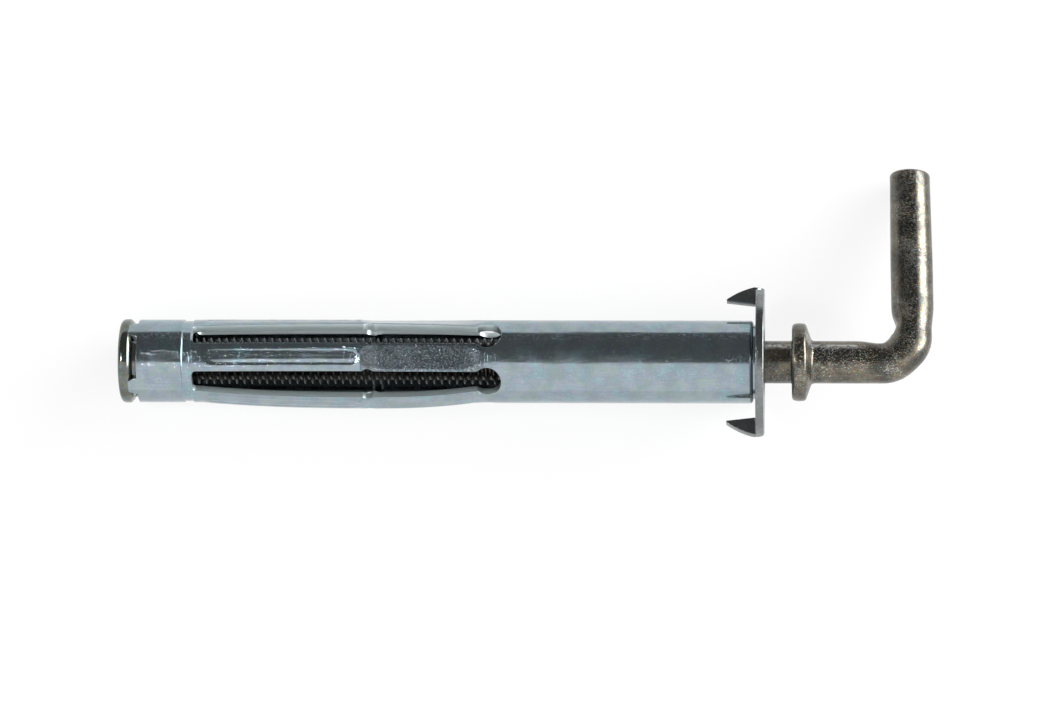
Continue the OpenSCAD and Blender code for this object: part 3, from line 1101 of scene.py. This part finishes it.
class Graph:
    """A node tree under construction."""

    MIX_COLOUR_INPUTS = (0, 6, 7)
    MIX_COLOUR_RESULT = 2

    def __init__(self, tree: NodeTree) -> None:
        """Starts on an empty tree."""
        self.tree = tree
        tree.nodes.clear()

    def node(self, kind: str, settings: dict | None = None, **values: object) -> Node:
        """Adds a node and feeds its inputs.

        Args:
            kind: The node's type.
            settings: The node's own properties.
            values: Its inputs by name, with spaces as underscores: a socket to link or a plain value.

        Returns:
            The node.
        """
        node = self.tree.nodes.new(kind)
        for key, value in (settings or {}).items():
            setattr(node, key, value)
        for key, value in values.items():
            self.feed(node.inputs[key.replace("_", " ")], value)
        return node

    def feed(self, socket: NodeSocket, value: object) -> None:
        """Links a socket to an input, or sets its plain value.

        Args:
            socket: The input.
            value: An output to link, or a value.
        """
        if isinstance(value, NodeSocket):
            self.tree.links.new(value, socket)
        else:
            socket.default_value = value

    def math(self, operation: str, first: object, *others: object) -> NodeSocket:
        """Works out a row of values with Math nodes, from left to right.

        Args:
            operation: What each node works out.
            first: The first value or socket.
            others: The values or sockets that follow.

        Returns:
            The result's socket.
        """
        for other in others:
            node = self.node("ShaderNodeMath", {"operation": operation})
            self.feed(node.inputs[0], first)
            self.feed(node.inputs[1], other)
            first = node.outputs[0]
        return first

    def times(self, *values: object) -> NodeSocket:
        """Multiplies values or sockets."""
        return self.math("MULTIPLY", *values)

    def plus(self, *values: object) -> NodeSocket:
        """Adds values or sockets."""
        return self.math("ADD", *values)

    def between(self, value: NodeSocket, low: object, high: object, to_low: float = 0.0,
                to_high: float = 1.0) -> NodeSocket:
        """Maps a value smoothly from one range to another.

        Args:
            value: The socket to map.
            low: The range's start, as a value or socket.
            high: The range's end, as a value or socket.
            to_low: The result at the start.
            to_high: The result at the end.

        Returns:
            The result's socket.
        """
        node = self.node("ShaderNodeMapRange", {"interpolation_type": "SMOOTHSTEP"}, Value=value,
                         From_Min=low, From_Max=high, To_Min=to_low, To_Max=to_high)
        return node.outputs["Result"]

    def mix(self, share: object, a: object, b: object, blend: str = "MIX") -> NodeSocket:
        """Mixes two colours.

        Args:
            share: How much of the second shows.
            a: The first colour.
            b: The second colour.
            blend: The way they mix.

        Returns:
            The colour's socket.
        """
        node = self.node("ShaderNodeMix", {"data_type": "RGBA", "blend_type": blend})
        for number, value in zip(self.MIX_COLOUR_INPUTS, (share, a, b)):
            self.feed(node.inputs[number], value)
        return node.outputs[self.MIX_COLOUR_RESULT]

    def pair(self, operation: str, a: NodeSocket, b: NodeSocket) -> Node:
        """Works out two vectors with a Vector Math node.

        Args:
            operation: What the node works out.
            a: The first vector.
            b: The second vector.

        Returns:
            The node.
        """
        node = self.node("ShaderNodeVectorMath", {"operation": operation})
        self.feed(node.inputs[0], a)
        self.feed(node.inputs[1], b)
        return node

    def split(self, vector: NodeSocket) -> Node:
        """Splits coordinates into X, Y and Z."""
        return self.node("ShaderNodeSeparateXYZ", Vector=vector)

    def stretched(self, vector: NodeSocket, scale: Triple) -> NodeSocket:
        """Scales coordinates by their own share on each axis."""
        return self.node("ShaderNodeMapping", Vector=vector, Scale=scale).outputs[0]

    def noise(self, vector: NodeSocket, scale: object, detail: float, roughness: float = 0.5) -> Node:
        """Adds a noise texture."""
        return self.node("ShaderNodeTexNoise", Vector=vector, Scale=scale, Detail=detail,
                         Roughness=roughness)

    def end(self, kind: str, shader: Node) -> None:
        """Links a shader to an output node of the given type."""
        self.tree.links.new(shader.outputs[0], self.node(kind).inputs[0])


class Effect(Enum):
    """The effects that the plated finishes share, by the names of their node groups."""

    GRAIN = "Rolled grain"
    SCRATCHES = "Handling marks"
    HUES = "Passivation hues"
    FACES = "Tube faces"
    FROST = "Coined frost"
    WEAR = "Rubbed edges"


class Group(Graph):
    """A shared effect's node group under construction."""

    def __init__(self, effect: Effect, inputs: dict[str, float], *outputs: str) -> None:
        """Starts a group that reads coordinates and a few values.

        Args:
            effect: The effect.
            inputs: The values that the group takes besides its Vector, with their defaults.
            outputs: The names of the results, which are values except the Tint.
        """
        tree = bpy.data.node_groups.new(effect.value, "ShaderNodeTree")
        tree.interface.new_socket(name="Vector", in_out="INPUT", socket_type="NodeSocketVector")
        for name, value in inputs.items():
            socket = tree.interface.new_socket(name=name, in_out="INPUT", socket_type="NodeSocketFloat")
            socket.default_value = value
        for name in outputs:
            kind = "NodeSocketColor" if name == "Tint" else "NodeSocketFloat"
            tree.interface.new_socket(name=name, in_out="OUTPUT", socket_type=kind)
        super().__init__(tree)
        self.entry = self.node("NodeGroupInput")
        self.exit = self.node("NodeGroupOutput")

    def given(self, name: str) -> NodeSocket:
        """One of the group's inputs."""
        return self.entry.outputs[name]

    def give(self, name: str, value: NodeSocket) -> None:
        """Feeds one of the group's outputs."""
        self.feed(self.exit.inputs[name], value)


class SurfaceGroups:
    """Builds the shared effects, each once."""

    # Places along the film's noise, each with its tint.
    FILM_HUES = (
        (0.28, (0.42, 0.68, 1.0, 1)), (0.42, (1.0, 0.88, 0.48, 1)), (0.52, (1.0, 0.64, 0.80, 1)),
        (0.62, (0.64, 1.0, 0.88, 1)), (0.74, (0.60, 1.0, 0.68, 1)),
    )
    UPPER_LEG_Z = 3.75
    _built: dict[Effect, NodeTree] = {}

    @classmethod
    def get(cls, effect: Effect) -> NodeTree:
        """Gives a shared effect's group, and builds it the first time."""
        if effect not in cls._built:
            cls._built[effect] = getattr(cls, effect.name.lower())().tree
        return cls._built[effect]

    @staticmethod
    def grain() -> Group:
        """Fine streaks and pits: a mask of streaks and a height for bump."""
        g = Group(Effect.GRAIN, {"Along": 1.0, "Round": 1.0, "Pits": 1.0}, "Streaks", "Height")
        scale = g.node("ShaderNodeCombineXYZ", X=g.given("Along"), Y=g.given("Round"), Z=g.given("Round"))
        place = g.pair("MULTIPLY", g.given("Vector"), scale.outputs[0]).outputs[0]
        streaks = g.noise(place, 1.0, 4.0, 0.6).outputs["Fac"]
        pits = g.noise(g.given("Vector"), g.given("Pits"), 3.0, 0.6).outputs["Fac"]
        g.give("Streaks", g.between(streaks, 0.3, 0.7))
        g.give("Height", g.plus(g.times(streaks, 0.5), g.times(pits, 0.5)))
        return g

    @staticmethod
    def scratches() -> Group:
        """Short handling marks: a mask of small bright nicks, longer along the axis."""
        g = Group(Effect.SCRATCHES, {"Scale": 1.0, "Amount": 0.5}, "Mask")
        bend = g.noise(g.given("Vector"), 0.6, 1.0).outputs["Color"]
        place = g.mix(0.25, g.given("Vector"), bend, "ADD")
        nicks = g.noise(g.stretched(place, (0.55, 2.2, 2.2)), g.given("Scale"), 1.0).outputs["Fac"]
        patches = g.noise(g.given("Vector"), 0.45, 2.0).outputs["Fac"]
        limit = g.math("SUBTRACT", 0.78, g.times(g.given("Amount"), patches))
        g.give("Mask", g.between(g.math("SUBTRACT", nicks, limit), 0.0, 0.05))
        return g

    @classmethod
    def hues(cls) -> Group:
        """Interference hues of the passivated zinc: a tint near white."""
        g = Group(Effect.HUES, {"Scale": 1.0, "Amount": 0.5}, "Tint")
        film = g.noise(g.given("Vector"), g.given("Scale"), 3.0, 0.65).outputs["Fac"]
        ramp_node = g.node("ShaderNodeValToRGB", Fac=film)
        stops = ramp_node.color_ramp.elements
        for stop, (place, colour) in zip(stops, (cls.FILM_HUES[0], cls.FILM_HUES[-1])):
            stop.position, stop.color = place, colour
        for place, colour in cls.FILM_HUES[1:-1]:
            stops.new(place).color = colour
        g.give("Tint", g.mix(g.given("Amount"), WHITE, ramp_node.outputs["Color"]))
        return g

    @staticmethod
    def faces() -> Group:
        """Tells a tube's faces apart: masks of those that look at its axis and of the cut ones."""
        g = Group(Effect.FACES, {}, "Inside", "Cut")
        parts = g.split(g.given("Vector"))
        outward = g.node("ShaderNodeCombineXYZ", X=0.0, Y=parts.outputs["Y"], Z=parts.outputs["Z"])
        outward = g.node("ShaderNodeVectorMath", {"operation": "NORMALIZE"}, Vector=outward.outputs[0])
        normal = g.node("ShaderNodeTexCoord").outputs["Normal"]
        facing = g.pair("DOT_PRODUCT", outward.outputs[0], normal).outputs["Value"]
        # Faces that look at the axis: where the finishes paint shade.
        g.give("Inside", g.between(facing, -0.35, -0.65))
        g.give("Cut", g.between(g.math("ABSOLUTE", facing, 0.0), 0.6, 0.35))
        return g

    @classmethod
    def frost(cls) -> Group:
        """The upper leg's coined flat between two places along the axis: its mask and its speckle, which
        bumps the grain and places painted glints.
        """
        g = Group(Effect.FROST, {"Start": 0.0, "End": 1.0}, "Mask", "Speckle")
        parts = g.split(g.given("Vector"))
        past = g.math("GREATER_THAN", parts.outputs["X"], g.given("Start"))
        before = g.between(parts.outputs["X"], g.plus(g.given("End"), 0.5),
                           g.math("SUBTRACT", g.given("End"), 0.5))
        upper = g.math("GREATER_THAN", parts.outputs["Z"], cls.UPPER_LEG_Z)
        grains = g.node("ShaderNodeTexVoronoi", Vector=g.given("Vector"), Scale=11.0)
        speckle = g.node("ShaderNodeSeparateColor", Color=grains.outputs["Color"])
        g.give("Mask", g.times(past, g.times(before, upper)))
        g.give("Speckle", speckle.outputs[0])
        return g

    @staticmethod
    def wear() -> Group:
        """Rubbed edges: a mask from how much the surface turns outwards."""
        g = Group(Effect.WEAR, {"Amount": 1.0}, "Mask")
        edge = g.between(g.node("ShaderNodeNewGeometry").outputs["Pointiness"], 0.52, 0.62)
        broken = g.between(g.noise(g.given("Vector"), 2.5, 3.0).outputs["Fac"], 0.3, 0.6)
        g.give("Mask", g.times(edge, broken, g.given("Amount")))
        return g


@dataclass(frozen=True)
class Masks:
    """The sockets that a finish is mixed from: masks, heights and a tint."""

    place: NodeSocket
    clouds: NodeSocket
    streaks: NodeSocket
    height: NodeSocket
    marks: NodeSocket
    tint: NodeSocket
    worn: NodeSocket
    sheared: NodeSocket
    dark: NodeSocket
    # Where shade is painted: faces that look at the tube's axis, and the thread inside the sleeve.
    frosted: NodeSocket
    speckle: NodeSocket


@dataclass(frozen=True)
class ZincFinish:
    """Zinc plating on steel: its colours, gloss and marks, with painted shade and painted glints."""

    name: str
    light: Colour
    dull: Colour
    roughness: float = 0.24
    spread: float = 0.12
    cloud_share: float = 0.7
    streaks: Pair = (0.5, 6.0)
    streak_share: float = 0.35
    pits: float = 9.0
    marks: float = 0.5
    marks_scale: float = 3.0
    mark_shine: float = 0.15
    mark_depth: float = 1.5
    hue_scale: float = 1.2
    hue: float = 0.2
    wear: float = 0.6
    wear_share: float = 0.5
    rubbed: Colour = (0.86, 0.89, 0.90, 1)
    bump: float = 0.25
    bump_depth: float = 0.000012
    waves: float = 0.5
    wave_depth: float = 0.00004
    wave_scale: float = 0.9
    wave_stretch: Triple = (0.25, 1.0, 1.0)
    # Painted shade: the shadow colour on faces that look at the tube's axis, by the inside share, and on the
    # thread before a place along the axis, by its own share.
    inside: float = 0.0
    thread_shade_before: float = -99.0
    thread_shade_share: float = 0.0
    shadow: Colour = (0.012, 0.015, 0.017, 1)
    cut: float = 0.0
    cut_share: float = 0.75
    cut_rough: float = 0.3
    cut_metal: Colour = (0.62, 0.69, 0.69, 1)
    frosted: Pair = (0.0, 0.0)
    frost_share: float = 0.55
    frost_rough: float = 0.08
    frost_grain: float = 2.4
    frost_metal: Colour = (0.075, 0.085, 0.10, 1)
    # Painted glints: past the first value of the frost's speckle, up to the second share of a near-white
    # colour.
    speckle: Pair = (0.55, 0.3)
    painted_glint_colour: Colour = (0.80, 0.84, 0.88, 1)

    def material(self) -> Material:
        """Builds the finish as a node material."""
        material = bpy.data.materials.new(self.name)
        material.use_nodes = True
        g = Graph(material.node_tree)
        m = self.masks(g)
        shader = g.node("ShaderNodeBsdfPrincipled", Base_Color=self.colour(g, m), Metallic=1.0,
                        Roughness=self.gloss(g, m), Normal=self.relief(g, m))
        g.end("ShaderNodeOutputMaterial", shader)
        return material

    @staticmethod
    def effect(g: Graph, effect: Effect, place: NodeSocket, **values: float) -> Node:
        """Places a shared effect in a material, with its values."""
        return g.node("ShaderNodeGroup", {"node_tree": SurfaceGroups.get(effect)}, Vector=place, **values)

    def masks(self, g: Graph) -> Masks:
        """Places the shared effects in the anchor's own frame.

        Args:
            g: The material's graph.

        Returns:
            What the finish is mixed from.
        """
        place = g.node(
            "ShaderNodeMapping", {"vector_type": "TEXTURE"}, Location=AXIS.origin, Scale=(MM, MM, MM),
            Vector=g.node("ShaderNodeTexCoord").outputs["Object"], Rotation=(0, -AXIS.tilt, 0),
        ).outputs[0]
        grain = self.effect(g, Effect.GRAIN, place, Along=self.streaks[0], Round=self.streaks[1],
                            Pits=self.pits)
        marks = self.effect(g, Effect.SCRATCHES, place, Scale=self.marks_scale, Amount=self.marks)
        hues = self.effect(g, Effect.HUES, place, Scale=self.hue_scale, Amount=self.hue)
        wear = self.effect(g, Effect.WEAR, place, Amount=self.wear)
        faces = self.effect(g, Effect.FACES, place)
        frost = self.effect(g, Effect.FROST, place, Start=self.frosted[0], End=self.frosted[1])
        # Painted shade on the thread, which lies in the sleeve's shade.
        painted_thread_shade = g.math("LESS_THAN", g.split(place).outputs["X"], self.thread_shade_before)
        return Masks(
            place=place,
            clouds=g.between(g.noise(place, 0.5, 4.0, 0.6).outputs["Fac"], 0.35, 0.65),
            streaks=grain.outputs["Streaks"],
            height=grain.outputs["Height"],
            marks=marks.outputs["Mask"],
            tint=hues.outputs["Tint"],
            worn=wear.outputs["Mask"],
            sheared=g.times(faces.outputs["Cut"], self.cut),
            # Painted shade mask: inner faces and the thread.
            dark=g.math("MAXIMUM", g.times(faces.outputs["Inside"], self.inside),
                        g.times(painted_thread_shade, self.thread_shade_share)),
            frosted=frost.outputs["Mask"],
            speckle=frost.outputs["Speckle"],
        )

    def colour(self, g: Graph, m: Masks) -> NodeSocket:
        """Mixes the plating's colour, from its clouds to painted shade on inner faces and the thread, and
        painted glints in the frost's speckle.

        Args:
            g: The material's graph.
            m: What the finish is mixed from.

        Returns:
            The colour's socket.
        """
        bright = g.math("MAXIMUM", g.times(m.marks, self.mark_shine), g.times(m.worn, self.wear_share))
        low, most = self.speckle
        colour = g.mix(g.times(m.clouds, self.cloud_share), self.light, self.dull)
        colour = g.mix(g.times(m.streaks, self.streak_share), colour, self.dull)
        colour = g.mix(1.0, colour, m.tint, "MULTIPLY")
        layers = (
            (bright, self.rubbed),
            (g.times(m.sheared, self.cut_share), self.cut_metal),
            # Painted shade.
            (m.dark, self.shadow),
            (g.times(m.frosted, self.frost_share), self.frost_metal),
            # Painted glints on the coined flat.
            (g.times(m.frosted, g.between(m.speckle, low, 1.0, 0.0, most)), self.painted_glint_colour),
        )
        for share, metal in layers:
            colour = g.mix(share, colour, metal)
        return colour

    def gloss(self, g: Graph, m: Masks) -> NodeSocket:
        """Works out the plating's roughness, which clouds, cuts and frost raise."""
        return g.plus(g.times(m.clouds, self.spread), self.roughness,
                      g.times(m.sheared, self.cut_rough), g.times(m.frosted, self.frost_rough))

    def relief(self, g: Graph, m: Masks) -> NodeSocket:
        """Raises the rolled waves, and on them the grain, the frost and the marks.

        Args:
            g: The material's graph.
            m: What the finish is mixed from.

        Returns:
            The normal's socket.
        """
        height = g.plus(m.height, g.times(m.frosted, m.speckle, self.frost_grain))
        height = g.math("SUBTRACT", height, g.times(m.marks, self.mark_depth))
        waves = g.noise(g.stretched(m.place, self.wave_stretch), self.wave_scale, 2.0).outputs["Fac"]
        rolled = g.node("ShaderNodeBump", Strength=self.waves, Distance=self.wave_depth, Height=waves)
        bump = g.node("ShaderNodeBump", Strength=self.bump, Distance=self.bump_depth, Height=height,
                      Normal=rolled.outputs["Normal"])
        return bump.outputs["Normal"]


# The sleeve's inner faces get painted shade; its coined flat gets painted glints.
SLEEVE_ZINC = ZincFinish(
    name="sleeve zinc", light=(0.33, 0.415, 0.465, 1), dull=(0.24, 0.32, 0.365, 1),
    roughness=0.12, spread=0.05, streaks=(0.3, 7.0), marks=0.26, marks_scale=9.0, hue=0.3,
    hue_scale=0.45, mark_shine=0.25, wear=0.3, inside=0.85, cut=1.0, frosted=(-41.3, -28.3),
)
NUT_ZINC = ZincFinish(
    name="nut zinc", light=(0.215, 0.26, 0.255, 1), dull=(0.10, 0.122, 0.12, 1),
    roughness=0.13, spread=0.06, streaks=(7.0, 0.4), hue=0.7, hue_scale=1.3, marks=0.25,
    marks_scale=6.0,
)
PLATE_ZINC = ZincFinish(
    name="plate zinc", light=(0.26, 0.28, 0.285, 1), dull=(0.16, 0.172, 0.176, 1),
    roughness=0.19, spread=0.08, streaks=(5.0, 1.2), hue=0.15, marks=0.3, marks_scale=6.0, wear=0.3,
)
# The hook's thread, inside the sleeve, gets painted shade.
HOOK_ZINC = ZincFinish(
    name="hook zinc", light=(0.205, 0.204, 0.166, 1), dull=(0.04, 0.049, 0.056, 1),
    roughness=0.19, spread=0.08, streaks=(0.25, 6.0), pits=11.0, marks=0.34, marks_scale=9.0,
    mark_shine=0.3, hue=0.75, hue_scale=2.6, bump=0.6, bump_depth=0.000035, thread_shade_before=-19.5,
    thread_shade_share=0.75,
)


@dataclass(frozen=True)
class Lamp:
    """A soft box: its place from the anchor's middle and its sides in metres, its power in watts."""

    name: str
    place: Triple
    size: Pair
    power: float

    def hang(self) -> None:
        """Hangs the box so that it faces the anchor."""
        data = bpy.data.lights.new(self.name, "AREA")
        data.shape = "RECTANGLE"
        data.size, data.size_y = self.size
        data.energy = self.power
        lamp = put_in_scene(self.name, data)
        lamp.location = self.place
        lamp.rotation_euler = Vector(self.place).to_track_quat("Z", "Y").to_euler()


@dataclass
class Studio:
    """The floor, the soft light and the camera."""

    middle: Pair = (0.00018, -0.00616)
    distance: float = 0.6
    axis_height: float = 0.008
    lens: float = 195.1
    roll: float = 0.12
    sensor: float = 36.0
    clip: Pair = (0.05, 20.0)
    floor_half: float = 4.0
    floor_grey: Colour = (0.9, 0.9, 0.9, 1)
    floor_glow: float = 0.8
    sky_light: float = 1.2
    sky_dark: float = 0.15
    sky_near: Pair = (-0.01, -0.10)
    sky_low: Pair = (0.2, 0.0)
    sky_low_share: float = 0.15
    sky_right: float = 1.0
    sky_right_from: Pair = (0.35, 0.7)
    lamps: tuple[Lamp, ...] = (
        Lamp("side box", (0.9, 0.35, 0.3), (1.1, 0.55), 22.0),
        Lamp("top box", (-0.55, 0.1, 0.85), (0.2, 0.06), 2.4),
    )

    def floor(self) -> None:
        """Makes the pale floor that the anchor lies on."""
        bm = bmesh.new()
        bmesh.ops.create_grid(bm, x_segments=1, y_segments=1, size=self.floor_half)
        mesh = as_mesh(bm, "floor")
        mesh.materials.append(self.floor_material())
        floor = put_in_scene("floor", mesh)

    def floor_material(self) -> Material:
        """Makes the floor's cloth, which glows evenly to the camera and in the metal."""
        material = bpy.data.materials.new("pale floor")
        material.use_nodes = True
        g = Graph(material.node_tree)
        cloth = g.node("ShaderNodeBsdfDiffuse", Color=self.floor_grey)
        glow = g.node("ShaderNodeEmission", Color=WHITE, Strength=1.0)
        path = g.node("ShaderNodeLightPath").outputs
        seen = g.math("MAXIMUM", path["Is Camera Ray"], path["Is Glossy Ray"], path["Is Transmission Ray"])
        mixed = g.node("ShaderNodeMixShader", Fac=g.times(seen, self.floor_glow))
        g.tree.links.new(cloth.outputs[0], mixed.inputs[1])
        g.tree.links.new(glow.outputs[0], mixed.inputs[2])
        g.end("ShaderNodeOutputMaterial", mixed)
        return material

    def sky(self) -> None:
        """Lights the scene from a soft surround that is dark beyond the anchor's upper side."""
        world = bpy.data.worlds.new("studio")
        bpy.context.scene.world = world
        world.use_nodes = True
        g = Graph(world.node_tree)
        way = g.split(g.node("ShaderNodeTexCoord").outputs["Generated"]).outputs
        near = g.between(way["Y"], *self.sky_near)
        low = g.between(way["Z"], *self.sky_low, 0.0, self.sky_low_share)
        level = g.between(g.math("MAXIMUM", near, low), 0.0, 1.0, self.sky_dark, self.sky_light)
        right = g.between(way["X"], *self.sky_right_from, 0.0, self.sky_right)
        seen = g.node("ShaderNodeLightPath").outputs["Is Camera Ray"]
        strength = g.math("MAXIMUM", level, right, seen)
        g.end("ShaderNodeOutputWorld", g.node("ShaderNodeBackground", Color=WHITE, Strength=strength))

    def camera(self) -> None:
        """Sets the camera straight above the anchor."""
        data = bpy.data.cameras.new("camera")
        data.lens = self.lens
        data.sensor_width = self.sensor
        data.clip_start, data.clip_end = self.clip
        camera = put_in_scene("camera", data)
        camera.location = (*self.middle, self.axis_height + self.distance)
        camera.rotation_euler = (0, 0, math.radians(self.roll))
        bpy.context.scene.camera = camera

    def set_up(self) -> None:
        """Sets up everything round the anchor."""
        bpy.context.scene.view_settings.view_transform = "Standard"
        self.floor()
        self.sky()
        for lamp in self.lamps:
            lamp.hang()
        self.camera()


def main() -> None:
    """Builds and dresses the anchor, piece by piece, and lights it."""
    logging.basicConfig(level=logging.INFO, format="%(name)s: %(message)s")
    Studio().set_up()
    Sleeve().build(SLEEVE_ZINC)
    Nut().build(NUT_ZINC)
    ClawPlate().build(PLATE_ZINC)
    HookScrew().build(HOOK_ZINC)


if __name__ == "__main__":
    main()
